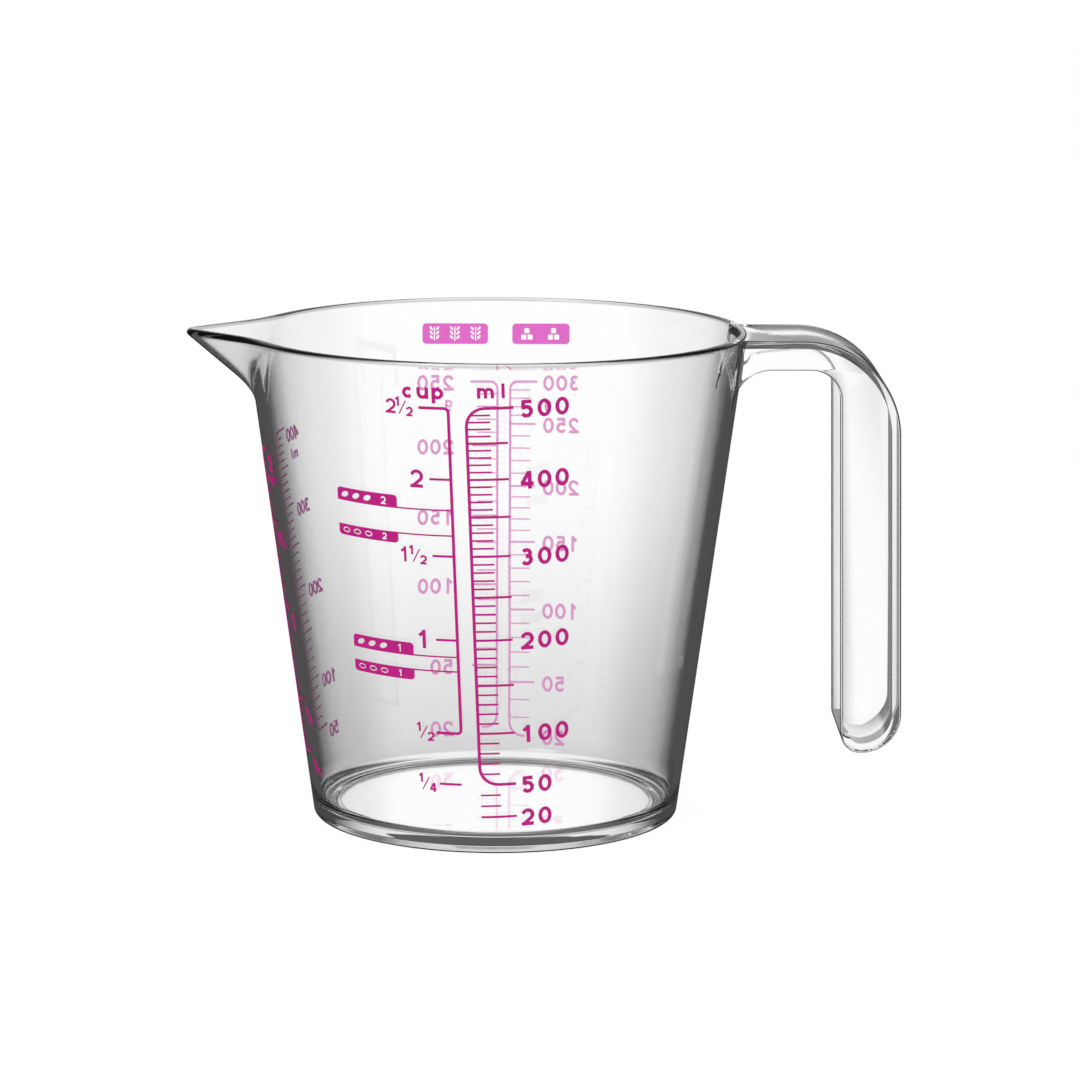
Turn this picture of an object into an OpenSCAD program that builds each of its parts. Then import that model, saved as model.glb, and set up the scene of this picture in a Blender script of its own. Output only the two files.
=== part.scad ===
// Clear half-litre mixing cup: a moulded conical cup with a V spout, an open U-channel handle
// and printed scales.
// Frame: +Z up, origin at the centre of the foot, on the cup's axis. The spout points to -X,
// the handle to +X, and the main scales face -Y.

/* [Cup] */
// Height of the rim above the table
cup_h = 100.5; // [98:0.5:130]
// Outer radius that the cone reaches at the rim's height
top_r = 51.05; // [49:0.05:60]
// Outer radius of the cone at the table
foot_r = 37.5; // [34:0.1:42]
// Thickness of the moulded wall
wall_t = 1.6; // [1.2:0.1:2.2]
// Thickness of the floor
floor_t = 1.8; // [1.2:0.1:3]
// Height of the recess under the floor
recess_h = 1.2; // [0.6:0.1:3]
// Width of the flat ring that the cup stands on
ring_w = 3; // [2:0.1:5]
// Radius of the outer corner at the foot
foot_round = 1.2; // [0.5:0.1:2]
// Radius of the inner corner between the floor and the wall
floor_round = 3; // [1:0.1:5]

/* [Spout] */
// Distance that the spout's tip stands out past the rim
spout_out = 11.95; // [9:0.05:16]
// Slope of the spout's underside above the table's plane
spout_rise = 40.3; // [36:0.1:45]
// Angle between the axis of the spout and each of its sides
spout_half = 45; // [40:1:48]
// Radius that the spout's fold is rounded to
spout_fold = 1.3; // [1.1:0.1:2]
// Depth over which the spout blends into the wall
spout_blend = 3.5; // [2.5:0.1:5]

/* [Handle] */
// Width of the handle across its two flanges
handle_w = 26; // [18:0.5:32]
// Thickness of the outer web
web_t = 1.8; // [1.2:0.1:2.6]
// Thickness of each flange
flange_t = 2.5; // [1.5:0.1:3.5]
// Drop from the rim to the top of the handle's arm
arm_drop = 0.7; // [0.5:0.1:3]
// Depth of the flanges along the arm
arm_depth = 6; // [5:0.5:9]
// Gap between the rim and the leg, where the fingers go
finger_gap = 18.3; // [16:0.1:30]
// Depth of the flanges along the leg
leg_depth = 12.35; // [11.5:0.05:16]
// Outer radius of the bend between the arm and the leg
bend_r = 19.8; // [15:0.1:20]
// Height from the leg's lower end to the arm's top
handle_drop = 84.9; // [60:0.1:86]
// Outward lean of the leg in degrees
leg_lean = 1.1; // [0:0.1:3]
// Radius of the outer corner at the leg's lower end
toe_r = 8; // [5:0.1:8]
// Radius of the inner corner at the leg's lower end
heel_r = 4; // [2.5:0.1:4]
// Radius of the inner corner between the arm and the leg
crotch_r = 6; // [3:0.1:7]
// Radius of the fillet between the flanges and the cup
root_r = 7.8; // [4:0.1:9]

/* [Print] */
// Thickness of the printed ink film, drawn thicker than the real film so that it can be seen and made
ink_t = 0.12; // [0.08:0.01:0.3]
// Clearance between the ink film and the wall
ink_gap = 0.01; // [0.01:0.01:0.05]
// Height of the front panel's figures
figure_h = 3.6; // [3:0.1:4.5]
// Width of a figure's stroke
figure_pen = 0.74; // [0.5:0.01:0.9]
// Height of the back panel's figures
back_figure_h = 3.4; // [2.5:0.1:4]
// Width of the frame lines
line_pen = 0.58; // [0.4:0.01:0.8]
// Width of the lines at each fifty
major_pen = 0.46; // [0.3:0.01:0.6]
// Width of the lines at each ten
minor_pen = 0.36; // [0.2:0.01:0.5]
// Direction that the front panel's centre faces, turned from -Y towards +X
front_turn = -16.5; // [-30:0.5:0]
// Direction that the back panel's centre faces
back_turn = 180; // [175:1:185]
// Direction that the spout side's panel faces
side_turn = -90; // [-95:1:-85]
// Least height between the front panel's highest mark and the rim, where the unit legends stand
legend_room = 8.5; // [8:0.5:12]
// Least height between the back panel's highest marks and the rim, where its two plates stand
plate_room = 17.4; // [17:0.1:22]
// Volume of one cup on the cup scales
cup_ml = 200; // [180:10:250]
// Volumes that the four grain tags point to
tag_a_ml = 359; // [340:1:370]
tag_b_ml = 326; // [300:1:330]
tag_c_ml = 181; // [176:1:200]
tag_d_ml = 165; // [150:1:168]

/* [Hidden] */
$fn = 256;

plastic = [0.86, 0.88, 0.9, 0.45];
ink = [0.77, 0.04, 0.52];

// The cone: its lean from the vertical and its radii at a height, measured square to the axis.
slope = (top_r - foot_r) / cup_h;
lean = atan(slope);
wall_across = wall_t / cos(lean);
function outer_r(z) = foot_r + slope * z;
function inner_r(z) = outer_r(z) - wall_across;
function mid_r(z) = outer_r(z) - wall_across / 2;

floor_z = recess_h + floor_t;
base_h = floor_z + floor_round;
rim_z = cup_h - wall_t / 2;
corner_steps = 8;

// Points along an arc from one angle to another.
function arc(c, r, a0, a1, steps = corner_steps) =
    [for (i = [0 : steps]) let (a = a0 + (a1 - a0) * i / steps) c + r * [cos(a), sin(a)]];

// The wall above the base, with its full-round rim and the notch that the spout fills.
module cup_wall() {
    color(plastic)
        difference() {
            rotate_extrude()
                polygon(concat(
                    [[inner_r(base_h), base_h], [outer_r(base_h), base_h]],
                    arc([mid_r(rim_z), rim_z], wall_t / 2, -lean, 180 - lean)
                ));
            spout_notch();
        }
}

// The floor, its rounded corner with the wall, and the ring that the cup stands on.
module cup_base() {
    ring_outer = outer_r(foot_round) - foot_round * (1 / cos(lean));
    corner_x = inner_r(base_h) - floor_round / cos(lean);
    recess_r = ring_outer - ring_w;
    color(plastic)
        rotate_extrude()
            polygon(concat(
                [[0, recess_h], [recess_r - recess_h / 2, recess_h], [recess_r, 0]],
                arc([ring_outer, foot_round], foot_round, -90, -lean),
                [[outer_r(base_h), base_h]],
                [[inner_r(base_h), base_h]],
                arc([corner_x, base_h], floor_round, -lean, -90),
                [[0, floor_z]]
            ));
}

// The spout is the cone pushed out into a rounded fold. Its middle surface is a smooth maximum
// of the cone and of the fold, so it joins the cone with no step.
spout_cot = 1 / tan(spout_half);
spout_run = 1 / tan(spout_rise);
spout_edge = top_r + spout_out - wall_t / 2;
function fold_sum(z) = spout_edge - spout_run * (rim_z - z) + spout_cot * spout_fold;
function fold_r(a, z) =
    let (s = fold_sum(z), q = pow(cos(a), 2) - pow(spout_cot * sin(a), 2))
    (s * cos(a) - spout_cot * sqrt(pow(s * sin(a), 2) + q * pow(spout_fold, 2))) / q;
function smooth_max(p, q) =
    max(p, q) + pow(max(spout_blend - abs(p - q), 0), 2) / (4 * spout_blend);
function spout_r(a, z) = smooth_max(mid_r(z), fold_r(a, z));

// The spout's lower end and half span, where the fold has sunk a full blend below the cone.
spout_low = (mid_r(0) - spout_edge + spout_run * rim_z - spout_blend) / (spout_run - slope);
spout_span = atan(spout_cot)
    - acos(fold_sum(rim_z) / (mid_r(rim_z) - spout_blend) / norm([1, spout_cot])) + 0.5;
spout_columns = 40;
spout_rows = 12;
rim_steps = 8;

function spout_turn(i) =
    let (s = 2 * i / spout_columns - 1) spout_span * sign(s) * pow(abs(s), 1.5);
function spout_point(a, z) = let (r = spout_r(a, z)) [-r * cos(a), r * sin(a), z];
function unit(v) = v / norm(v);
probe = 0.01;
function spout_across(a, z) = unit(spout_point(a + probe, z) - spout_point(a - probe, z));
function spout_up(a, z) = unit(spout_point(a, z + probe) - spout_point(a, z - probe));
function spout_out(a, z) = unit(cross(spout_up(a, z), spout_across(a, z)));
function cone_point(a, r, z) = [-r * cos(a), r * sin(a), z];
function spout_column(a) =
    let (
        top = spout_point(a, rim_z),
        out = spout_out(a, rim_z),
        up = cross(spout_across(a, rim_z), out)
    )
    concat(
        [cone_point(a, outer_r(spout_low), spout_low)],
        [for (j = [1 : spout_rows - 1])
            let (z = spout_low + (rim_z - spout_low) * j / spout_rows)
            spout_point(a, z) + wall_t / 2 * spout_out(a, z)],
        [for (j = [0 : rim_steps])
            let (t = 180 * j / rim_steps) top + wall_t / 2 * (cos(t) * out + sin(t) * up)],
        [for (j = [spout_rows - 1 : -1 : 1])
            let (z = spout_low + (rim_z - spout_low) * j / spout_rows)
            spout_point(a, z) - wall_t / 2 * spout_out(a, z)],
        [cone_point(a, inner_r(spout_low), spout_low)]
    );

module pour_spout() {
    columns = [for (i = [0 : spout_columns]) spout_column(spout_turn(i))];
    ring = len(columns[0]);
    color(plastic)
        polyhedron(
            points = [for (c = columns) each c],
            faces = concat(
                [[for (k = [0 : ring - 1]) k]],
                [[for (k = [ring - 1 : -1 : 0]) spout_columns * ring + k]],
                [for (i = [0 : spout_columns - 1]) for (k = [0 : ring - 1])
                    let (
                        a = i * ring + k,
                        b = i * ring + (k + 1) % ring,
                        c = a + ring,
                        d = b + ring
                    )
                    each [[a, c, b], [b, c, d]]]
            ),
            convexity = 6
        );
}

// The wedge of the wall that the spout replaces.
module spout_notch() {
    far = 2 * top_r;
    translate([0, 0, spout_low])
        linear_extrude(cup_h)
            polygon([
                [0, 0],
                [-far * cos(spout_span), far * sin(spout_span)],
                [-far, 0],
                [-far * cos(spout_span), -far * sin(spout_span)]
            ]);
}

// The handle in side view: x from the cup's axis, y for the height.
arm_top = cup_h - arm_drop;
arm_low = arm_top - arm_depth;
leg_low = arm_top - handle_drop;
leg_inner_x = top_r + finger_gap;
leg_outer_x = leg_inner_x + leg_depth;
bend = [leg_outer_x - bend_r, arm_top - bend_r];
function leg_shift(z) = tan(leg_lean) * (bend.y - z);
toe = [leg_outer_x + leg_shift(leg_low + toe_r) - toe_r, leg_low + toe_r];
heel = [leg_inner_x + leg_shift(leg_low + heel_r) + heel_r, leg_low + heel_r];
crotch = [leg_inner_x - crotch_r, arm_low - crotch_r];
flange_y = handle_w / 2 - flange_t / 2;
root_wall_x = sqrt(pow(outer_r(arm_low - root_r), 2) - pow(flange_y, 2));
root = [root_wall_x + root_r, arm_low - root_r];
inside_x = root_wall_x - 6;

module handle_outline() {
    polygon(concat(
        [[inside_x, arm_top]],
        arc(bend, bend_r, 90, 0, 2 * corner_steps),
        arc(toe, toe_r, 0, -90),
        arc(heel, heel_r, -90, -180),
        arc(crotch, crotch_r, 0, 90),
        arc(root, root_r, 90, 180),
        [[inside_x, root.y]]
    ));
}

// The hollow of the channel, open towards the cup and closed by the web round the other sides.
module channel_outline() {
    polygon(concat(
        [[inside_x - 1, arm_top - web_t]],
        arc(bend, bend_r - web_t, 90, 0, 2 * corner_steps),
        arc(toe, toe_r - web_t, 0, -90),
        arc(heel, heel_r - web_t, -90, -180),
        [[inside_x - 1, heel.y]]
    ));
}

module handle() {
    color(plastic)
        difference() {
            rotate([90, 0, 0])
                linear_extrude(handle_w, center = true)
                    handle_outline();
            rotate([90, 0, 0])
                linear_extrude(handle_w - 2 * flange_t, center = true)
                    channel_outline();
            cylinder(r1 = outer_r(0), r2 = outer_r(cup_h), h = cup_h);
        }
}

// A printed panel is drawn flat, in millimetres from its centre line (u) and up the slanted wall
// from the foot (v), and wrapped round the cone.
foot_slant = foot_r / sin(lean);
function wrapped(p) =
    let (
        slant = norm([p.x, foot_slant + p.y]),
        turn = atan2(p.x, foot_slant + p.y) / sin(lean)
    )
    [slant * sin(lean) * sin(turn), (slant - foot_slant) * cos(lean)];

// The film on one side of the wall, cut by what is drawn inside it.
module print_on_wall(turn) {
    near = outer_r(0) / 3;
    low = foot_round;
    high = cup_h - wall_t;
    color(ink)
        intersection() {
            rotate([0, 0, turn])
                rotate([90, 0, 0])
                    translate([0, 0, near])
                        linear_extrude(top_r)
                            children();
            rotate_extrude()
                polygon([
                    [outer_r(low) + ink_gap, low],
                    [outer_r(low) + ink_gap + ink_t, low],
                    [outer_r(high) + ink_gap + ink_t, high],
                    [outer_r(high) + ink_gap, high]
                ]);
        }
}

// One pen stroke along a path. The side offset at each point follows the mean direction there.
function path_normal(path, i) =
    let (
        a = path[max(i - 1, 0)],
        b = path[i],
        c = path[min(i + 1, len(path) - 1)],
        d1 = i == 0 ? unit(c - b) : unit(b - a),
        d2 = i == len(path) - 1 ? d1 : unit(c - b),
        m = unit(d1 + d2)
    )
    [-m.y, m.x] / max(m * d1, 0.6);
function stroke_side(path, half) =
    [for (i = [0 : len(path) - 1]) wrapped(path[i] + half * path_normal(path, i))];
function flipped(v) = [for (i = [len(v) - 1 : -1 : 0]) v[i]];

module stroke(path, pen) {
    polygon(concat(stroke_side(path, pen / 2), flipped(stroke_side(path, -pen / 2))));
}

module line(a, b, pen) {
    stroke([for (i = [0 : 3]) a + (b - a) * i / 3], pen);
}

// An oval ring, such as a nought.
module ring(c, rx, ry, pen, steps = 20) {
    outer = [for (i = [0 : steps - 1]) let (t = 360 * i / steps)
        wrapped(c + [(rx + pen / 2) * cos(t), (ry + pen / 2) * sin(t)])];
    inner = [for (i = [0 : steps - 1]) let (t = 360 * i / steps)
        wrapped(c + [(rx - pen / 2) * cos(t), (ry - pen / 2) * sin(t)])];
    polygon(
        points = concat(outer, inner),
        paths = [[for (i = [0 : steps - 1]) i], [for (i = [0 : steps - 1]) steps + i]]
    );
}

module oval(c, rx, ry, tilt = 0, steps = 12) {
    polygon([for (i = [0 : steps - 1]) let (t = 360 * i / steps)
        wrapped(c + rx * cos(t) * [cos(tilt), sin(tilt)] + ry * sin(t) * [-sin(tilt), cos(tilt)])]);
}

// Centre lines of the figures' and letters' strokes, in a cell 0.75 wide and 1 high.
glyph_w = 0.75;
function glyph(key) =
    key == "1" ? [[[0.16, 0.68], [0.42, 0.9]], [[0.42, 1], [0.42, 0]]]
    : key == "2" ? [concat(arc([0.38, 0.63], 0.27, 165, -35, 7), [[0.12, 0.06]]),
        [[0.03, 0.1], [0.7, 0.1]]]
    : key == "3" ? [arc([0.36, 0.7], 0.2, 150, -100, 7), arc([0.36, 0.34], 0.24, 100, -150, 7)]
    : key == "4" ? [[[0.5, 0.95], [0.12, 0.32]], [[0.05, 0.3], [0.75, 0.3]], [[0.54, 1], [0.54, 0]]]
    : key == "5" ? [[[0.66, 0.9], [0.18, 0.9]], [[0.22, 0.98], [0.19, 0.5]],
        arc([0.37, 0.36], 0.26, 140, -150, 7)]
    : key == "c" ? [arc([0.36, 0.36], 0.26, 45, 315, 7)]
    : key == "u" ? [concat([[0.1, 0.72]], arc([0.36, 0.36], 0.26, 180, 360, 6), [[0.62, 0.72]]),
        [[0.62, 0.4], [0.62, 0]]]
    : key == "p" ? [[[0.1, 0.72], [0.1, -0.26]]]
    : key == "m" ? [[[0.1, 0], [0.1, 0.72]], concat(arc([0.32, 0.4], 0.22, 180, 0, 5), [[0.54, 0]]),
        concat(arc([0.76, 0.4], 0.22, 180, 0, 5), [[0.98, 0]])]
    : key == "l" ? [[[0.1, 0], [0.1, 1]]]
    : key == "g" ? [concat([[0.62, 0.72]], [[0.62, 0.1]], arc([0.36, 0], 0.26, 0, -140, 5))]
    : [];
// Where a sign has a closed bowl: its centre and its two radii.
function bowl(key) =
    key == "0" ? [0.375, 0.5, 0.275, 0.4]
    : key == "p" || key == "g" ? [0.36, 0.36, 0.26, 0.26]
    : [];

module sign(key, at, size, pen) {
    for (path = glyph(key))
        stroke([for (q = path) at + size * q], pen);
    b = bowl(key);
    if (len(b) > 0)
        ring(at + size * [b[0], b[1]], size * b[2], size * b[3], pen);
}

// A row of signs from the left end of its baseline.
module row(keys, at, size, pitch, pen) {
    for (i = [0 : len(keys) - 1])
        sign(keys[i], at + [i * pitch, 0], size, pen);
}

// A half or a quarter, with its right end at the given point and its middle at that height.
fraction_size = 0.62;
function fraction_w(size) = 1.12 * size;
module fraction(below, right, size, pen) {
    small = fraction_size * size;
    thin = 0.8 * pen;
    left = right - [fraction_w(size), 0];
    sign("1", left + [-0.18 * small, 0.02 * size], small, thin);
    line(left + [0.2 * size, -0.46 * size], left + [0.66 * size, 0.4 * size], 0.6 * thin);
    sign(below, right - [glyph_w * small, 0.6 * size], small, thin);
}

// The height of a volume's mark up the wall, from the cone that it fills.
function volume_mark(ml) =
    let (r0 = inner_r(floor_z), r1 = pow(3 * slope * ml * 1000 / PI + pow(r0, 3), 1 / 3))
    (floor_z + (r1 - r0) / slope) / cos(lean);

// The volume that fills the cup up to a height.
function volume_to(z) = PI / (3 * slope) * (pow(inner_r(z), 3) - pow(inner_r(floor_z), 3)) / 1000;

// The highest marks are the last whole hundred, and the last half cup, that leave the legends room.
scale_ml = 100 * floor(volume_to(cup_h - legend_room) / 100);
side_ml = scale_ml - 100;
scale_cups = floor(2 * scale_ml / cup_ml) / 2;
side_cups = floor(2 * side_ml / cup_ml) / 2;

// The two dry scales: each weight in grams with the millilitres that it fills, as far up as the
// back panel's plates leave room.
plate_ml = volume_to(cup_h - plate_room);
flour_fills = [[20, 24], [50, 84], [100, 171], [150, 253], [200, 345], [250, 436]];
sugar_fills = [[20, 16], [50, 67], [100, 143], [150, 221], [200, 291], [250, 375], [300, 436]];
flour_marks = [for (m = flour_fills) if (m[1] <= plate_ml) m];
sugar_marks = [for (m = sugar_fills) if (m[1] <= plate_ml) m];

// A scale's frame line with its two turned ends. Side is 1 for ends that point to +u, or -1.
module frame_line(u, low, high, low_end, high_end, low_r, high_r, side, pen) {
    mirror_u = [side, 1];
    function sided(v) = [for (p = v) [u + side * p.x, p.y]];
    stroke(sided(concat(
        [[high_end, high], [(high_r + high_end) / 2, high]],
        arc([high_r, high - high_r], high_r, 90, 180, 6),
        [for (k = [1 : 3]) [0, high - high_r + (low + low_r - high + high_r) * k / 4]],
        arc([low_r, low + low_r], low_r, 180, 270, 6),
        [[(low_r + low_end) / 2, low], [low_end, low]]
    )), pen);
}

// Front panel. The frame lines are this far from its centre line.
ml_line_u = 8.3;
cup_line_u = 4.85;
ml_corner = 3.6;
function ml_tick_len(v) = 6.9 + 0.012 * v;
function ml_minor_len(v) = 3.85 + 0.009 * v;

module ml_scale() {
    top_v = volume_mark(scale_ml);
    low_v = volume_mark(50);
    print_on_wall(front_turn) {
        frame_line(ml_line_u, low_v, top_v, ml_tick_len(low_v), ml_tick_len(top_v) + 1.2,
            ml_corner, ml_corner, 1, line_pen);
        for (ml = [60 : 10 : scale_ml - 10]) {
            v = volume_mark(ml);
            major = ml % 50 == 0;
            corner_in = max(ml_corner - (top_v - v), 0);
            start = ml_corner - sqrt(pow(ml_corner, 2) - pow(corner_in, 2));
            line([ml_line_u + start, v],
                [ml_line_u + (major ? ml_tick_len(v) : ml_minor_len(v)), v],
                major ? major_pen : minor_pen);
        }
        for (ml = [20, 30, 40]) {
            v = volume_mark(ml);
            line([ml_line_u, v],
                [ml_line_u + (ml == 20 ? ml_tick_len(v) : ml_minor_len(v)), v],
                ml == 20 ? major_pen : minor_pen);
        }
    }
}

function figures(n) =
    n >= 10 ? concat(figures(floor(n / 10)), [str(n % 10)]) : [str(n)];

figure_pitch = 3.52;
module ml_figures() {
    print_on_wall(front_turn)
        for (ml = concat([20, 50], [for (n = [100 : 100 : scale_ml]) n])) {
            v = volume_mark(ml);
            row(figures(ml), [15.9 + 0.03 * v, v - 0.4 - figure_h / 2], figure_h,
                figure_pitch, figure_pen);
        }
}

cup_tick = 4.3;
cup_end_tick = 5.9;
module cup_scale() {
    low_v = volume_mark(cup_ml / 2);
    high_v = volume_mark(scale_cups * cup_ml);
    print_on_wall(front_turn) {
        frame_line(cup_line_u, low_v, high_v, cup_tick + 0.7, cup_end_tick, 0.7, 0.9, -1, line_pen);
        for (cups = [1 : 0.5 : scale_cups - 0.5]) {
            v = volume_mark(cups * cup_ml);
            line([cup_line_u - cup_tick, v], [cup_line_u, v], major_pen);
        }
        quarter_v = volume_mark(cup_ml / 4);
        line([cup_line_u - cup_tick - 0.4, quarter_v], [cup_line_u - 0.3, quarter_v], major_pen);
    }
}

// One mark of a cup scale, with its right end at the given point and its middle at that height.
module cup_mark(cups, right, size, pen) {
    whole = floor(cups);
    part = cups - whole;
    if (part > 0)
        fraction(part == 0.25 ? "4" : "2", right, size, pen);
    if (whole > 0)
        sign(str(whole), right - [glyph_w * size + (part > 0 ? fraction_w(size) : 0), size / 2],
            size, pen);
}

module cup_figures() {
    print_on_wall(front_turn)
        for (cups = concat([0.25], [for (n = [0.5 : 0.5 : scale_cups]) n])) {
            v = volume_mark(cups * cup_ml);
            reach = cups == scale_cups ? cup_end_tick : cup_tick;
            mixed = cups != floor(cups);
            cup_mark(cups, [cup_line_u - reach - 1.2, v], mixed ? 3.1 : 3.8,
                mixed ? 0.5 : 0.66);
        }
}

module front_legends() {
    base_v = volume_mark(scale_ml) + 1.8;
    print_on_wall(front_turn) {
        row(["c", "u", "p"], [-4.3, base_v], 3.2, 3, 0.68);
        row(["m"], [10.6, base_v + 0.2], 3, 3, 0.6);
        row(["l"], [15.35, base_v + 0.2], 2.9, 3, 0.6);
    }
}

// A rounded plate outline, with its round corners at the top or at the bottom.
module plate(left, right, low, high, r, round_top = true, round_low = true) {
    t = round_top ? r : 0;
    b = round_low ? r : 0;
    side = [for (i = [1 : 5]) i / 6];
    outline = concat(
        [for (k = side) [left + b + (right - left - 2 * b) * k, low]],
        b > 0 ? arc([right - b, low + b], b, -90, 0, 4) : [[right, low]],
        t > 0 ? arc([right - t, high - t], t, 0, 90, 4) : [[right, high]],
        [for (k = side) [right - t - (right - left - 2 * t) * k, high]],
        t > 0 ? arc([left + t, high - t], t, 90, 180, 4) : [[left, high]],
        b > 0 ? arc([left + b, low + b], b, 180, 270, 4) : [[left, low]]
    );
    polygon([for (p = outline) wrapped(p)]);
}

// A grain tag: a filled plate that holds three grain signs and a number, with a leader line to
// the cup scale. The leader runs along the plate's lower edge, or along its upper edge.
tag_w = 14;
tag_r = 0.75;
leader_pen = 0.3;
module grain_tag(left, ml, h, key, leader_low, hollow) {
    leader_v = volume_mark(ml);
    low = leader_low ? leader_v - leader_pen / 2 : leader_v + leader_pen / 2 - h;
    size = 0.62 * h;
    middle = low + h / 2;
    print_on_wall(front_turn) {
        difference() {
            plate(left, left + tag_w, low, low + h, tag_r, leader_low, !leader_low);
            for (i = [0 : 2]) {
                c = [left + 1.9 + 2.7 * i, middle];
                if (hollow)
                    ring(c, 0.78, 0.46, 0.24, 10);
                else
                    oval(c, 0.95, 0.55, 25, 10);
            }
            sign(key, [left + tag_w - 3.6, middle - size / 2], size, 0.3);
        }
        line([left + tag_w - 0.05, leader_v], [cup_line_u - line_pen / 2, leader_v], leader_pen);
    }
}

upper_tag_u = -20.45;
lower_tag_u = -18.25;
module grain_tag_a() { grain_tag(upper_tag_u, tag_a_ml, 2.65, "2", true, false); }
module grain_tag_b() { grain_tag(upper_tag_u, tag_b_ml, 2.25, "2", false, true); }
module grain_tag_c() { grain_tag(lower_tag_u, tag_c_ml, 2.65, "1", true, false); }
module grain_tag_d() { grain_tag(lower_tag_u, tag_d_ml, 2.35, "1", false, true); }

// A dry scale of the back panel. Side is 1 for marks that point to +u, or -1.
module dry_scale(marks, u, side, low_r, high_r) {
    low = marks[0];
    high = marks[len(marks) - 1];
    frame_line(u, volume_mark(low[1]), volume_mark(high[1]), 3.4, 6, low_r, high_r, side,
        0.85 * line_pen);
    for (g = [low[0] + 10 : 10 : high[0] - 10]) {
        v = volume_mark(lookup(g, marks));
        length = g % 50 == 0 ? 5.6 : 4.5;
        line([u, v], [u + side * length, v], g % 50 == 0 ? 0.4 : 0.26);
    }
}

back_pitch = 2.95;
module dry_figures(marks, u, side, unit_key) {
    pen = 0.62;
    for (m = marks) {
        keys = figures(m[0]);
        w = (len(keys) - 1) * back_pitch + glyph_w * back_figure_h;
        start = side > 0 ? u : u - w;
        row(keys, [start, volume_mark(m[1]) - back_figure_h / 2 - 0.3], back_figure_h, back_pitch, pen);
    }
    top = volume_mark(marks[len(marks) - 1][1]);
    sign(unit_key, [side > 0 ? u + 0.4 : u - 2, top - back_figure_h - 2.2], 2.3, 0.42);
}

flour_line_u = -0.4;
sugar_line_u = -3.2;
module flour_scale() {
    print_on_wall(back_turn) dry_scale(flour_marks, flour_line_u, 1, 2.5, 1.6);
}
module flour_figures() {
    print_on_wall(back_turn) dry_figures(flour_marks, flour_line_u + 9.6, 1, "g");
}
module sugar_scale() {
    print_on_wall(back_turn) dry_scale(sugar_marks, sugar_line_u, -1, 3, 1.6);
}
module sugar_figures() {
    print_on_wall(back_turn) dry_figures(sugar_marks, sugar_line_u - 7.3, -1, "g");
}

// The back panel's two plates, this far under the rim up the wall.
back_tag_drop = 5.8;
back_tag_h = 4.4;
back_tag_v = cup_h / cos(lean) - back_tag_drop - back_tag_h;
module flour_tag() {
    middle = back_tag_v + back_tag_h / 2;
    print_on_wall(back_turn)
        difference() {
            plate(1.7, 16.2, back_tag_v, back_tag_v + back_tag_h, 0.8);
            // three ears, each of a stem and paired grains
            for (u = [4.4, 8.95, 13.5]) {
                line([u, middle - 1.5], [u, middle + 1.5], 0.26);
                for (k = [-1 : 1]) for (s = [-1, 1])
                    oval([u + 0.72 * s, middle + 0.95 * k + 0.2], 0.55, 0.26, 50 * s, 8);
            }
        }
}
module sugar_tag() {
    middle = back_tag_v + back_tag_h / 2;
    print_on_wall(back_turn)
        difference() {
            plate(-16.3, -3.6, back_tag_v, back_tag_v + back_tag_h, 0.8);
            // two stacks of cubes
            for (u = [-12.9, -7])
                for (k = [-1.05, 0.35])
                    plate(u + k, u + k + 1.1, middle - 1.25, middle - 0.15, 0.15);
            for (u = [-12.9, -7])
                plate(u - 0.35, u + 0.75, middle + 0.15, middle + 1.25, 0.15);
        }
}

// Spout side panel: a millilitre scale on its left half and a cup scale on its right half.
side_line_u = 6.3;
side_tick = 7.6;
side_minor = 5.2;
module side_ml_scale() {
    high_v = volume_mark(side_ml);
    low_v = volume_mark(50);
    print_on_wall(side_turn) {
        frame_line(-side_line_u, low_v, high_v, side_tick, side_tick, 2.5, 2.5, -1, 0.85 * line_pen);
        for (ml = [60 : 10 : side_ml - 10]) {
            v = volume_mark(ml);
            length = ml % 50 == 0 ? 6.6 : side_minor;
            line([-side_line_u, v], [-side_line_u - length, v], minor_pen);
        }
    }
}
module side_ml_figures() {
    size = 3;
    pitch = 2.3;
    drop = 1.9;
    w = 2 * pitch + glyph_w * size;
    right = -side_line_u - side_tick - 0.9;
    print_on_wall(side_turn) {
        for (ml = concat([50], [for (n = [100 : 100 : side_ml]) n])) {
            keys = figures(ml);
            row(keys, [right - (len(keys) - 1) * pitch - glyph_w * size,
                volume_mark(ml) - drop - size / 2], size, pitch, 0.56);
        }
        unit_v = volume_mark(side_ml) - drop - size - 2.2;
        sign("m", [right - w / 2 - 1.6, unit_v], 2.2, 0.4);
        sign("l", [right - w / 2 + 1.4, unit_v], 2.2, 0.4);
    }
}
module side_cup_scale() {
    high_v = volume_mark(side_cups * cup_ml);
    low_v = volume_mark(cup_ml / 4);
    print_on_wall(side_turn) {
        frame_line(side_line_u, low_v, high_v, side_minor, side_minor, 2.5, 2.5, 1, 0.85 * line_pen);
        for (cups = [0.5 : 0.5 : side_cups - 0.5]) {
            v = volume_mark(cups * cup_ml);
            line([side_line_u, v], [side_line_u + side_minor, v], major_pen);
        }
    }
}
module side_cup_figures() {
    size = 3.6;
    u = side_line_u + side_tick;
    print_on_wall(side_turn) {
        for (cups = concat([0.25], [for (n = [0.5 : 0.5 : side_cups]) n])) {
            mixed = cups != floor(cups);
            cup_mark(cups, [u + (mixed ? 2.6 : 1.6), volume_mark(cups * cup_ml) - 0.9 - size / 2],
                mixed ? 2.8 : size, mixed ? 0.46 : 0.62);
        }
        row(["c", "u", "p"], [u - 3.4, volume_mark(side_cups * cup_ml) - size - 3.3], 2.1, 1.9, 0.4);
    }
}

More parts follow.
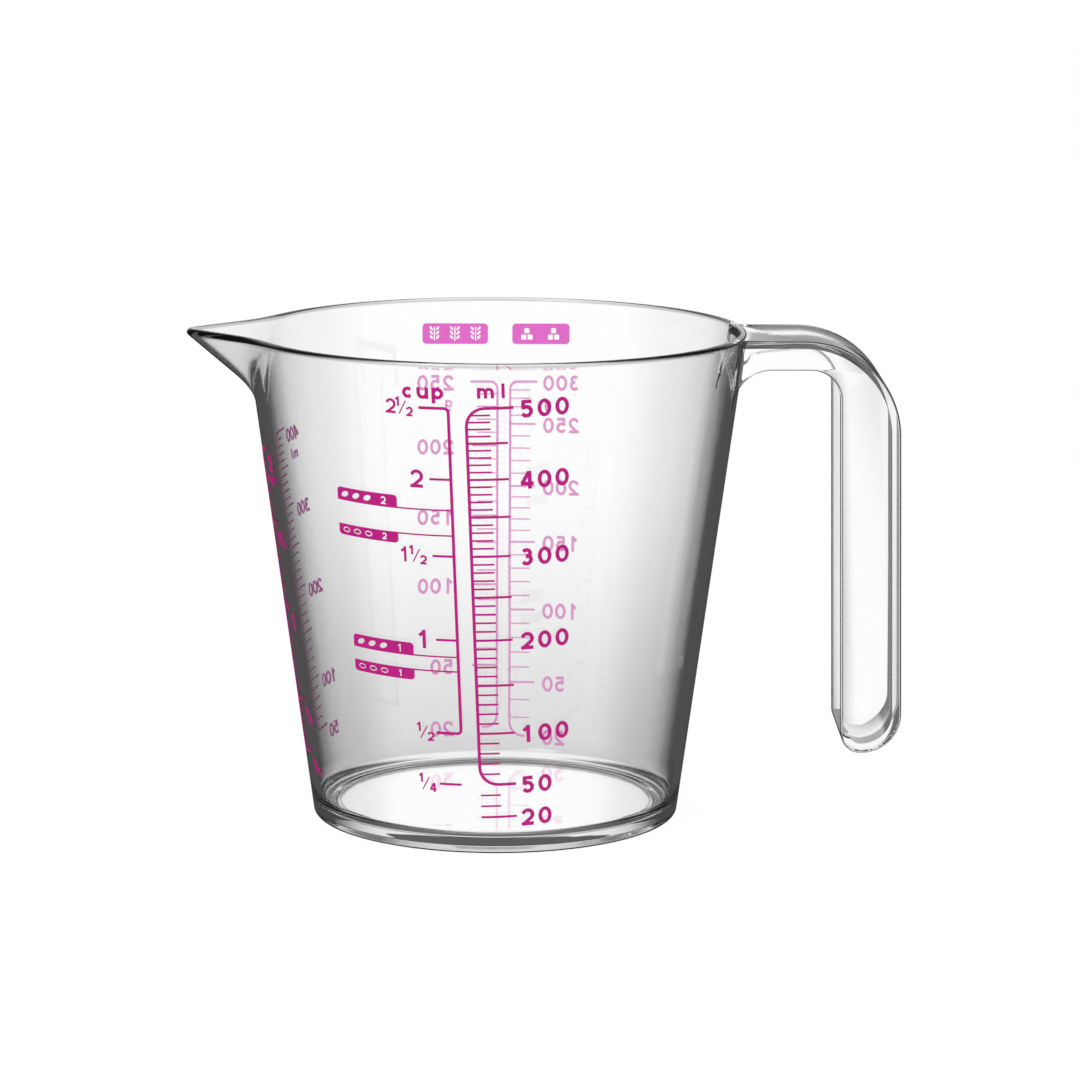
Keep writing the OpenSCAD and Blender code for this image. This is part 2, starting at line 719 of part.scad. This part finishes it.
cup_wall();
cup_base();
pour_spout();
handle();
ml_scale();
ml_figures();
cup_scale();
cup_figures();
front_legends();
grain_tag_a();
grain_tag_b();
grain_tag_c();
grain_tag_d();
flour_scale();
flour_figures();
flour_tag();
sugar_scale();
sugar_figures();
sugar_tag();
side_ml_scale();
side_ml_figures();
side_cup_scale();
side_cup_figures();
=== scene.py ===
"""Clear conical mixing cup with a V spout, an open channel handle and printed scales."""
import math

import bmesh
import bpy
import numpy as np
from mathutils import Matrix, Vector


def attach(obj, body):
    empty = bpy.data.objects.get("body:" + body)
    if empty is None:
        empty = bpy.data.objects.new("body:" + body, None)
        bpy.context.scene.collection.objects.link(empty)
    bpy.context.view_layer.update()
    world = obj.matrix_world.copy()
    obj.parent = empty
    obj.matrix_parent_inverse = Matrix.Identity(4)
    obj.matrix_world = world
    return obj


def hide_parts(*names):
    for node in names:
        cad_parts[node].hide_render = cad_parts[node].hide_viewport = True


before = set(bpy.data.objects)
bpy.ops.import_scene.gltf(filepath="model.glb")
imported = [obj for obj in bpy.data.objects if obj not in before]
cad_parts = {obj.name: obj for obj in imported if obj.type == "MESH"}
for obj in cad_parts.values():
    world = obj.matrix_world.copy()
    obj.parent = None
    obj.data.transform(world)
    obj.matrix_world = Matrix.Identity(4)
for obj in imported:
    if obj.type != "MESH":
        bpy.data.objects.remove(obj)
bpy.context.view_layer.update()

MM = 0.001
scene = bpy.context.scene

# Sizes of the moulding in millimetres, as in the solids.
CUP_H = 100.5
TOP_R = 51.05
FOOT_R = 37.5
WALL_T = 1.6
FLOOR_T = 1.8
RECESS_H = 1.2
RECESS_SOFT = 0.35
RING_W = 3.0
FOOT_ROUND = 1.2
FLOOR_ROUND = 3.0
FLOOR_ROWS = (6, 14, 22, 28)
RECESS_FLAT = 2.2
RECESS_STEP = 1.0
RING_FLAT = 1.2
ROW_GAP = 1.5
LEAST_GAP = 1.0
SLOPE = (TOP_R - FOOT_R) / CUP_H
LEAN = math.atan(SLOPE)
HALF_T = WALL_T / 2
RIM_Z = CUP_H - HALF_T
FLOOR_Z = RECESS_H + FLOOR_T
BASE_Z = FLOOR_Z + FLOOR_ROUND

SPOUT_REACH = 63.0
SPOUT_RISE = math.radians(40.3)
SPOUT_FOLD = 1.3
SPOUT_BLEND = 3.5
SPOUT_LOW = 83.5
SPOUT_HALF_ANGLE = math.radians(30.5)
SPOUT_COLUMNS = 44
SPOUT_CROWDING = 1.5
REST_COLUMNS = 288
WALL_ROWS = 18
SPOUT_ROWS = 26
RIM_STEPS = 14
CORE_SPARE = 10

HANDLE_W = 26.0
WEB_T = 1.8
FLANGE_T = 2.5
ARM_TOP = CUP_H - 0.7
ARM_LOW = ARM_TOP - 6.0
LEG_INNER_X = TOP_R + 18.3
LEG_OUTER_X = LEG_INNER_X + 12.35
LEG_LOW = ARM_TOP - 84.9
LEG_LEAN = math.radians(1.1)
BEND_R = 19.8
TOE_R = 8.0
HEEL_R = 4.0
CROTCH_R = 6.0
ROOT_R = 7.8
ARM_INSIDE = 6.0
EDGE_ROUND = 0.5
EDGE_STEPS = 4
EDGE_ANGLE = math.radians(60)


def outer_r(z):
    return FOOT_R + SLOPE * z


def mid_r(z):
    return outer_r(z) - HALF_T / math.cos(LEAN)


def arc(centre, r, a0, a1, steps):
    """Points on an arc, with the angles in degrees."""
    angles = np.radians(np.linspace(a0, a1, steps + 1))
    return [(centre[0] + r * math.cos(a), centre[1] + r * math.sin(a)) for a in angles]


def new_object(name, mesh):
    obj = bpy.data.objects.new(name, mesh)
    scene.collection.objects.link(obj)
    return obj


def drop(obj):
    mesh = obj.data
    bpy.data.objects.remove(obj)
    bpy.data.meshes.remove(mesh)


def settled(obj, name):
    """A copy of the object's mesh with its modifiers applied. The object itself goes."""
    graph = bpy.context.evaluated_depsgraph_get()
    mesh = bpy.data.meshes.new_from_object(obj.evaluated_get(graph))
    mesh.name = name
    drop(obj)
    return new_object(name, mesh)


def boolean(obj, other, operation, name):
    mod = obj.modifiers.new("boolean", "BOOLEAN")
    mod.operation = operation
    mod.object = other
    mod.solver = "EXACT"
    out = settled(obj, name)
    drop(other)
    return out


# The spout: the cone's middle surface pushed out into a rounded fold.
SPOUT_EDGE = SPOUT_REACH - HALF_T
LEAST_Q = 0.05


def fold_sum(z):
    return SPOUT_EDGE - (RIM_Z - z) / math.tan(SPOUT_RISE) + SPOUT_FOLD


def middle(a, z):
    """Middle surface at an angle from -X (radians) and a height, as an array of points."""
    cone = mid_r(z)
    s = fold_sum(z)
    q = np.cos(a) ** 2 - np.sin(a) ** 2
    safe_q = np.where(q > LEAST_Q, q, LEAST_Q)
    root = np.sqrt(np.maximum((s * np.sin(a)) ** 2 + safe_q * SPOUT_FOLD ** 2, 0))
    fold = (s * np.cos(a) - root) / safe_q
    fold = np.where((q > LEAST_Q) & (np.cos(a) > 0), fold, 0)
    near = np.maximum(SPOUT_BLEND - np.abs(cone - fold), 0)
    r = np.maximum(cone, fold) + near ** 2 / (4 * SPOUT_BLEND)
    r = np.where(near > 0, r, np.maximum(cone, fold))
    return np.stack([-r * np.cos(a), r * np.sin(a), z + 0 * a], -1)


def unit(v):
    return v / np.linalg.norm(v, axis=-1, keepdims=True)


PROBE = 0.005


def wall_frame(a, z):
    """Middle point, outward direction and upward direction of the wall."""
    across = unit(middle(a + PROBE / 10, z) - middle(a - PROBE / 10, z))
    up = unit(middle(a, z + PROBE) - middle(a, z - PROBE))
    out = unit(np.cross(up, across))
    return middle(a, z), out, np.cross(across, out)


def column_angles():
    """Angles of the cup's columns from -X, closer together across the spout."""
    span, half = SPOUT_HALF_ANGLE, SPOUT_COLUMNS
    spout = [span * math.copysign(abs(i / half) ** SPOUT_CROWDING, i) for i in range(-half, half + 1)]
    step = (2 * math.pi - 2 * span) / REST_COLUMNS
    return np.array(spout + [span + step * i for i in range(1, REST_COLUMNS)])


def clear_cup_body():
    """The wall, rim, spout, floor and foot ring as one closed surface."""
    a = column_angles()
    n = len(a)
    ring_outer = outer_r(FOOT_ROUND) - FOOT_ROUND / math.cos(LEAN)
    recess_r = ring_outer - RING_W
    turn = math.degrees(LEAN)
    soft = RECESS_SOFT

    # Under side and foot, from the axis outwards
    low = [(r, RECESS_H) for r in (*FLOOR_ROWS, recess_r - RECESS_FLAT)]
    low += arc((recess_r - RECESS_STEP - soft, RECESS_H - soft), soft, 90, 30, 3)
    low += arc((recess_r + soft * 0.6, soft), soft, 210, 270, 3)
    low += [(recess_r + RING_FLAT, 0)]
    low += arc((ring_outer, FOOT_ROUND), FOOT_ROUND, -90, -turn, 8)
    # Floor and its corner, from the wall inwards
    corner_x = mid_r(BASE_Z) - HALF_T / math.cos(LEAN) - FLOOR_ROUND / math.cos(LEAN)
    high = arc((corner_x, BASE_Z), FLOOR_ROUND, -turn, -90, 10)
    high += [(r, FLOOR_Z) for r in (corner_x - ROW_GAP, *FLOOR_ROWS[::-1])]

    def ring(r, z):
        return np.stack([-r * np.cos(a), r * np.sin(a), np.full(n, z)], -1)

    rows = [ring(r, z) for r, z in low]
    heights = list(np.linspace(FOOT_ROUND + ROW_GAP, SPOUT_LOW, WALL_ROWS)[:-1])
    heights += list(np.linspace(SPOUT_LOW, RIM_Z, SPOUT_ROWS))
    outside, inside = [], []
    for z in heights:
        m, out, _ = wall_frame(a, z)
        outside.append(m + HALF_T * out)
        if z > BASE_Z + LEAST_GAP:
            inside.append(m - HALF_T * out)
    m, out, up = wall_frame(a, RIM_Z)
    rim = [m + HALF_T * (math.cos(t) * out + math.sin(t) * up)
           for t in (math.pi * k / RIM_STEPS for k in range(1, RIM_STEPS))]
    rows += outside + rim + inside[::-1]
    rows += [ring(r, z) for r, z in high]

    verts = np.concatenate(rows + [[[0, 0, RECESS_H]], [[0, 0, FLOOR_Z]]]) * MM
    count = len(rows)
    under, over = count * n, count * n + 1
    faces = []
    for j in range(count - 1):
        for i in range(n):
            k = (i + 1) % n
            faces.append((j * n + i, (j + 1) * n + i, (j + 1) * n + k, j * n + k))
    for i in range(n):
        k = (i + 1) % n
        faces.append((under, i, k))
        faces.append((over, (count - 1) * n + k, (count - 1) * n + i))
    mesh = bpy.data.meshes.new("clear_cup")
    mesh.from_pydata([tuple(v) for v in verts], [], faces)
    mesh.update()
    bm = bmesh.new()
    bm.from_mesh(mesh)
    bmesh.ops.recalc_face_normals(bm, faces=bm.faces)
    bm.to_mesh(mesh)
    bm.free()
    return new_object("clear_cup", mesh)


def slab(name, outline, width):
    """A side outline (x, z) made into a closed solid across Y."""
    bm = bmesh.new()
    left = [bm.verts.new((x * MM, -width / 2 * MM, z * MM)) for x, z in outline]
    right = [bm.verts.new((x * MM, width / 2 * MM, z * MM)) for x, z in outline]
    bm.faces.new(left)
    bm.faces.new(right[::-1])
    for i in range(len(outline)):
        k = (i + 1) % len(outline)
        bm.faces.new((left[k], left[i], right[i], right[k]))
    bmesh.ops.recalc_face_normals(bm, faces=bm.faces)
    mesh = bpy.data.meshes.new(name)
    bm.to_mesh(mesh)
    bm.free()
    return new_object(name, mesh)


def cone_solid(name, inset):
    """The solid cone of the cup's outside, drawn in by an inset square to its side."""
    bm = bmesh.new()
    shift = inset / math.cos(LEAN)
    bmesh.ops.create_cone(
        bm, cap_ends=True, segments=360, radius1=(outer_r(-CORE_SPARE) - shift) * MM,
        radius2=(outer_r(CUP_H + CORE_SPARE) - shift) * MM, depth=(CUP_H + 2 * CORE_SPARE) * MM,
        matrix=Matrix.Translation((0, 0, CUP_H / 2 * MM)))
    mesh = bpy.data.meshes.new(name)
    bm.to_mesh(mesh)
    bm.free()
    return new_object(name, mesh)


def handle_body():
    """The handle: a strap bent down into a leg, hollowed from the cup's side, that ends at the wall."""
    bend = (LEG_OUTER_X - BEND_R, ARM_TOP - BEND_R)

    def shift(z):
        return math.tan(LEG_LEAN) * (bend[1] - z)

    toe = (LEG_OUTER_X + shift(LEG_LOW + TOE_R) - TOE_R, LEG_LOW + TOE_R)
    heel = (LEG_INNER_X + shift(LEG_LOW + HEEL_R) + HEEL_R, LEG_LOW + HEEL_R)
    crotch = (LEG_INNER_X - CROTCH_R, ARM_LOW - CROTCH_R)
    flange_y = HANDLE_W / 2 - FLANGE_T / 2
    root_wall = math.sqrt(outer_r(ARM_LOW - ROOT_R) ** 2 - flange_y ** 2)
    root = (root_wall + ROOT_R, ARM_LOW - ROOT_R)
    inside = root_wall - ARM_INSIDE

    outline = [(inside, ARM_TOP)]
    outline += arc(bend, BEND_R, 90, 0, 32)
    outline += arc(toe, TOE_R, 0, -90, 16)
    outline += arc(heel, HEEL_R, -90, -180, 10)
    outline += arc(crotch, CROTCH_R, 0, 90, 14)
    outline += arc(root, ROOT_R, 90, 180, 16)
    outline += [(inside, root[1])]
    channel = [(inside - 1, ARM_TOP - WEB_T)]
    channel += arc(bend, BEND_R - WEB_T, 90, 0, 32)
    channel += arc(toe, TOE_R - WEB_T, 0, -90, 16)
    channel += arc(heel, HEEL_R - WEB_T, -90, -180, 10)
    channel += [(inside - 1, heel[1])]

    body = slab("handle_body", outline, HANDLE_W)
    mod = body.modifiers.new("edges", "BEVEL")
    mod.width = EDGE_ROUND * MM
    mod.segments = EDGE_STEPS
    mod.limit_method = "ANGLE"
    mod.angle_limit = EDGE_ANGLE
    body = settled(body, "handle_body")
    hollow = slab("channel", channel, HANDLE_W - 2 * FLANGE_T)
    body = boolean(body, hollow, "DIFFERENCE", "handle_body")
    return boolean(body, cone_solid("core", HALF_T), "DIFFERENCE", "handle_body")


def smooth(obj, angle):
    mesh = obj.data
    mesh.polygons.foreach_set("use_smooth", [True] * len(mesh.polygons))
    mesh.set_sharp_from_angle(angle=math.radians(angle))


SHARP_ANGLE = 40
cup = boolean(clear_cup_body(), handle_body(), "UNION", "clear_cup")
smooth(cup, SHARP_ANGLE)
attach(cup, "root")
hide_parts("cup_wall", "cup_base", "pour_spout", "handle")


# Looks of the plastic and the ink
PLASTIC_IOR = 1.57
PLASTIC_TINT = (0.5, 0.53, 0.55, 1)
PLASTIC_DEPTH = 6
PLASTIC_HAZE = 0.03
RIPPLE_STRETCH = (60, 60, 14)
RIPPLE_DETAIL = 2.0
RIPPLE_STRENGTH = 0.06
RIPPLE_HEIGHT = 0.0006
INK_IOR = 1.25
INK_COVER = 0.96
INK_GRAIN = 900
INK_GRAIN_DETAIL = 3
INK_GRAIN_RANGE = (0.3, 0.7)
INK_DARKER, INK_LIGHTER = 0.9, 1.08
INK_ROUGH = (0.35, 0.5)
# The three inks are lit and shaded copies of one magenta ink: the front ink's darker colour is painted
# shade, and the back and plate inks' lighter colours are painted light from behind.
FRONT_SHADED_COLOUR, FRONT_THROUGH = (0.62, 0.006, 0.27), 0.3
BACK_LIT_COLOUR, BACK_THROUGH = (0.98, 0.24, 0.7), 0.9
PLATE_LIT_COLOUR, PLATE_THROUGH = (1.0, 0.07, 0.7), 0.9


def new_material(name):
    mat = bpy.data.materials.new(name)
    mat.use_nodes = True
    nodes = mat.node_tree.nodes
    return mat, nodes, mat.node_tree.links, nodes["Principled BSDF"]


def clear_plastic():
    """Clear moulded plastic: a faint flow ripple, a little haze and a grey tint in its depth."""
    mat, nodes, links, shader = new_material("clear_plastic")
    shader.inputs["Base Color"].default_value = (1, 1, 1, 1)
    shader.inputs["IOR"].default_value = PLASTIC_IOR
    shader.inputs["Transmission Weight"].default_value = 1.0
    coord = nodes.new("ShaderNodeTexCoord")
    flow = nodes.new("ShaderNodeMapping")
    flow.inputs["Scale"].default_value = RIPPLE_STRETCH
    links.new(coord.outputs["Object"], flow.inputs["Vector"])
    ripple = nodes.new("ShaderNodeTexNoise")
    ripple.inputs["Scale"].default_value = 1.0
    ripple.inputs["Detail"].default_value = RIPPLE_DETAIL
    links.new(flow.outputs["Vector"], ripple.inputs["Vector"])
    bump = nodes.new("ShaderNodeBump")
    bump.inputs["Strength"].default_value = RIPPLE_STRENGTH
    bump.inputs["Distance"].default_value = RIPPLE_HEIGHT
    links.new(ripple.outputs["Fac"], bump.inputs["Height"])
    links.new(bump.outputs["Normal"], shader.inputs["Normal"])
    haze = nodes.new("ShaderNodeMapRange")
    haze.inputs["To Min"].default_value = 0.0
    haze.inputs["To Max"].default_value = PLASTIC_HAZE
    links.new(ripple.outputs["Fac"], haze.inputs["Value"])
    links.new(haze.outputs["Result"], shader.inputs["Roughness"])
    depth = nodes.new("ShaderNodeVolumeAbsorption")
    depth.inputs["Color"].default_value = PLASTIC_TINT
    depth.inputs["Density"].default_value = PLASTIC_DEPTH
    links.new(depth.outputs["Volume"], nodes["Material Output"].inputs["Volume"])
    return mat


def printed_ink(name, colour, through):
    """Screen-printed ink, a little uneven in cover, that lets some of the light behind it through."""
    mat, nodes, links, shader = new_material(name)
    coord = nodes.new("ShaderNodeTexCoord")
    grain = nodes.new("ShaderNodeTexNoise")
    grain.inputs["Scale"].default_value = INK_GRAIN
    grain.inputs["Detail"].default_value = INK_GRAIN_DETAIL
    links.new(coord.outputs["Object"], grain.inputs["Vector"])
    ramp = nodes.new("ShaderNodeValToRGB")
    for stop, at, share in zip(ramp.color_ramp.elements, INK_GRAIN_RANGE, (INK_DARKER, INK_LIGHTER)):
        stop.position = at
        stop.color = (*[min(share * c, 1) for c in colour], 1)
    links.new(grain.outputs["Fac"], ramp.inputs["Fac"])
    links.new(ramp.outputs["Color"], shader.inputs["Base Color"])
    rough = nodes.new("ShaderNodeMapRange")
    rough.inputs["To Min"].default_value, rough.inputs["To Max"].default_value = INK_ROUGH
    links.new(grain.outputs["Fac"], rough.inputs["Value"])
    links.new(rough.outputs["Result"], shader.inputs["Roughness"])
    shader.inputs["IOR"].default_value = INK_IOR
    shader.inputs["Transmission Weight"].default_value = through
    shader.inputs["Alpha"].default_value = INK_COVER
    return mat


cup.data.materials.clear()
cup.data.materials.append(clear_plastic())

# The front, back and plate inks are shaded and lit copies of one print ink: painted shade at the front,
# painted light at the back.
front_ink_shaded = printed_ink("ink_front_shaded", FRONT_SHADED_COLOUR, FRONT_THROUGH)
back_ink_lit = printed_ink("ink_back_lit", BACK_LIT_COLOUR, BACK_THROUGH)
plate_ink_lit = printed_ink("ink_plates_lit", PLATE_LIT_COLOUR, PLATE_THROUGH)
for node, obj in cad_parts.items():
    if node in ("cup_wall", "cup_base", "pour_spout", "handle"):
        continue
    obj.data.materials.clear()
    if node in ("flour_tag", "sugar_tag"):
        obj.data.materials.append(plate_ink_lit)
    elif node.startswith(("flour", "sugar", "side_ml")):
        obj.data.materials.append(back_ink_lit)
    else:
        obj.data.materials.append(front_ink_shaded)

# Camera, at the photograph's viewing angle
CAMERA_AT = (-2.787, -864.3, 217.79)
PAN, PITCH, ROLL = (math.radians(v) for v in (0.784, 10.555, 0.256))
FOCAL_PX = 4280.2
FRAME_PX = 1080
SENSOR = 36
NEAR, FAR = 0.01, 100
forward = Vector((math.sin(PAN) * math.cos(PITCH), math.cos(PAN) * math.cos(PITCH), -math.sin(PITCH)))
level = Vector((math.cos(PAN), -math.sin(PAN), 0))
above = level.cross(forward)
right = math.cos(ROLL) * level + math.sin(ROLL) * above
upward = -math.sin(ROLL) * level + math.cos(ROLL) * above
camera_data = bpy.data.cameras.new("camera")
camera_data.sensor_width = SENSOR
camera_data.lens = SENSOR * FOCAL_PX / FRAME_PX
camera_data.clip_start = NEAR
camera_data.clip_end = FAR
camera = bpy.data.objects.new("camera", camera_data)
scene.collection.objects.link(camera)
turned = Matrix((right, upward, -forward)).transposed().to_4x4()
camera.matrix_world = Matrix.Translation(Vector(CAMERA_AT) * MM) @ turned
scene.camera = camera


# Floor: white to the camera, with the cup's soft shadow kept
FLOOR_HALF = 3.0
FLOOR_AT = -0.0001
FLOOR_GLOW = 0.96
FLOOR_MATT = 0.07
UNDER_R = 33.0
UNDER_AT = -0.00005
UNDER_GLOW = 1.0
UNDER_MIRRORED = 0.8


def floor_material():
    """Even white glow, and a little matt grey that takes the cup's shadow."""
    mat = bpy.data.materials.new("floor")
    mat.use_nodes = True
    nodes, links = mat.node_tree.nodes, mat.node_tree.links
    nodes.clear()
    out = nodes.new("ShaderNodeOutputMaterial")
    glow = nodes.new("ShaderNodeEmission")
    glow.inputs["Color"].default_value = (FLOOR_GLOW, FLOOR_GLOW, FLOOR_GLOW, 1)
    matt = nodes.new("ShaderNodeBsdfDiffuse")
    matt.inputs["Color"].default_value = (FLOOR_MATT, FLOOR_MATT, FLOOR_MATT, 1)
    both = nodes.new("ShaderNodeAddShader")
    links.new(glow.outputs[0], both.inputs[0])
    links.new(matt.outputs[0], both.inputs[1])
    links.new(both.outputs[0], out.inputs["Surface"])
    return mat


def wide_floor():
    """The floor that the cup stands on. It isn't seen through the plastic or mirrored in it."""
    bm = bmesh.new()
    corners = [bm.verts.new((x * FLOOR_HALF, y * FLOOR_HALF, FLOOR_AT))
               for x, y in ((-1, -1), (1, -1), (1, 1), (-1, 1))]
    bm.faces.new(corners)
    mesh = bpy.data.meshes.new("floor")
    bm.to_mesh(mesh)
    bm.free()
    floor = new_object("floor", mesh)
    floor.data.materials.append(floor_material())
    floor.visible_transmission = False
    floor.visible_glossy = False
    floor.visible_shadow = False


def floor_under_cup():
    """The floor right under the cup, white where it is seen through the cup's own floor."""
    mat = bpy.data.materials.new("under_floor")
    mat.use_nodes = True
    nodes, links = mat.node_tree.nodes, mat.node_tree.links
    nodes.clear()
    out = nodes.new("ShaderNodeOutputMaterial")
    glow = nodes.new("ShaderNodeEmission")
    path = nodes.new("ShaderNodeLightPath")
    dim = nodes.new("ShaderNodeMapRange")
    dim.inputs["To Min"].default_value = UNDER_GLOW
    dim.inputs["To Max"].default_value = UNDER_MIRRORED
    links.new(path.outputs["Glossy Depth"], dim.inputs["Value"])
    links.new(dim.outputs["Result"], glow.inputs["Strength"])
    links.new(glow.outputs[0], out.inputs["Surface"])
    bm = bmesh.new()
    bmesh.ops.create_circle(bm, cap_ends=True, segments=96, radius=UNDER_R * MM)
    mesh = bpy.data.meshes.new("under_floor")
    bm.to_mesh(mesh)
    bm.free()
    mesh.materials.append(mat)
    disc = new_object("under_floor", mesh)
    disc.location = (0, 0, UNDER_AT)
    for kind in ("camera", "diffuse", "glossy", "shadow"):
        setattr(disc, "visible_" + kind, False)


wide_floor()
floor_under_cup()


# Surroundings: the darkest tone of each dark part, and the brightness that matt surfaces receive
CARD_TONE = 0.1
CEILING_TONE = 0.12
# The table's grey towards the cup is painted shade, seen through the cup's lower wall.
TABLE_SHADE_TONE = 0.62
STEEP_TONE = 0.9
SIDE_MIRROR_TONE = 0.08
OVERHEAD_TONE = 0.7
MATT_LIGHT = 0.7


def studio():
    """White surroundings, with other tones for what is seen through the plastic or mirrored in it."""
    world = bpy.data.worlds.new("studio")
    scene.world = world
    world.use_nodes = True
    nodes, links = world.node_tree.nodes, world.node_tree.links
    nodes.clear()
    out = nodes.new("ShaderNodeOutputWorld")
    back = nodes.new("ShaderNodeBackground")
    back.inputs["Color"].default_value = (1, 1, 1, 1)
    path = nodes.new("ShaderNodeLightPath")
    coord = nodes.new("ShaderNodeTexCoord")
    parts = nodes.new("ShaderNodeSeparateXYZ")
    links.new(coord.outputs["Generated"], parts.inputs[0])

    def math_node(op, a, b=None):
        node = nodes.new("ShaderNodeMath")
        node.operation = op
        for k, v in enumerate((a, b)):
            if v is None:
                continue
            if isinstance(v, (int, float)):
                node.inputs[k].default_value = v
            else:
                links.new(v, node.inputs[k])
        return node.outputs[0]

    def ramp(value, low, high, to_low, to_high):
        node = nodes.new("ShaderNodeMapRange")
        node.interpolation_type = "SMOOTHSTEP"
        for key, v in (("From Min", low), ("From Max", high), ("To Min", to_low), ("To Max", to_high)):
            node.inputs[key].default_value = v
        links.new(value, node.inputs["Value"])
        return node.outputs[0]

    x, y, z = parts.outputs
    # Light that has only passed through the plastic: white round the horizon, with a black card
    # at each side of the view, a darker ceiling and a table that greys towards the cup in painted shade
    sideways = math_node("ABSOLUTE", x)
    inner_edge = ramp(sideways, 0.08, 0.24, 1.0, CARD_TONE)
    outer_edge = ramp(sideways, 0.5, 0.65, 0.0, 1.0)
    card = math_node("MAXIMUM", inner_edge, outer_edge)
    flanked = math_node("MAXIMUM", card, ramp(y, 0.0, 0.3, 1.0, 0.0))
    ceiling = ramp(z, 0.05, 0.4, 1.0, CEILING_TONE)
    # Painted shade: the table greys towards the cup, which darkens what is seen through the lower wall.
    painted_table_shade = ramp(z, -0.245, -0.165, TABLE_SHADE_TONE, 1.0)
    table = math_node("MAXIMUM", painted_table_shade, ramp(z, -0.6, -0.4, STEEP_TONE, 0.0))
    through = math_node("MULTIPLY", math_node("MULTIPLY", flanked, ceiling), table)
    # Light that has been reflected: white before the cup, overhead and just above the horizon
    # behind it, dark to the sides
    before = ramp(y, -0.5, 0.1, 1.0, SIDE_MIRROR_TONE)
    overhead = ramp(z, 0.6, 0.97, 0.0, OVERHEAD_TONE)
    skyline = math_node("MULTIPLY", ramp(z, 0.02, 0.12, 0.0, 1.0), ramp(y, 0.5, 0.85, 0.0, 1.0))
    mirrored = math_node("MAXIMUM", math_node("MAXIMUM", before, overhead), skyline)
    reflected = math_node("MINIMUM", path.outputs["Glossy Depth"], 1.0)
    seen = nodes.new("ShaderNodeMix")
    links.new(reflected, seen.inputs["Factor"])
    links.new(through, seen.inputs["A"])
    links.new(mirrored, seen.inputs["B"])
    diffuse = math_node("GREATER_THAN", path.outputs["Diffuse Depth"], 0.5)
    lit = nodes.new("ShaderNodeMix")
    links.new(diffuse, lit.inputs["Factor"])
    links.new(seen.outputs["Result"], lit.inputs["A"])
    lit.inputs["B"].default_value = MATT_LIGHT
    plain = nodes.new("ShaderNodeMix")
    links.new(path.outputs["Is Camera Ray"], plain.inputs["Factor"])
    links.new(lit.outputs["Result"], plain.inputs["A"])
    plain.inputs["B"].default_value = 1.0
    links.new(plain.outputs["Result"], back.inputs["Strength"])
    links.new(back.outputs[0], out.inputs["Surface"])


studio()


def lamp(name, at, aim, size, watts):
    data = bpy.data.lights.new(name, "AREA")
    data.shape = "RECTANGLE"
    data.size, data.size_y = size
    data.energy = watts
    obj = bpy.data.objects.new(name, data)
    scene.collection.objects.link(obj)
    obj.location = at
    obj.rotation_mode = "QUATERNION"
    obj.rotation_quaternion = (Vector(aim) - Vector(at)).to_track_quat("-Z", "Y")
    return obj


lamp("key", (-0.5, -0.6, 0.9), (0, 0, 0.05), (0.4, 0.4), 2.0)

scene.view_settings.view_transform = "Standard"
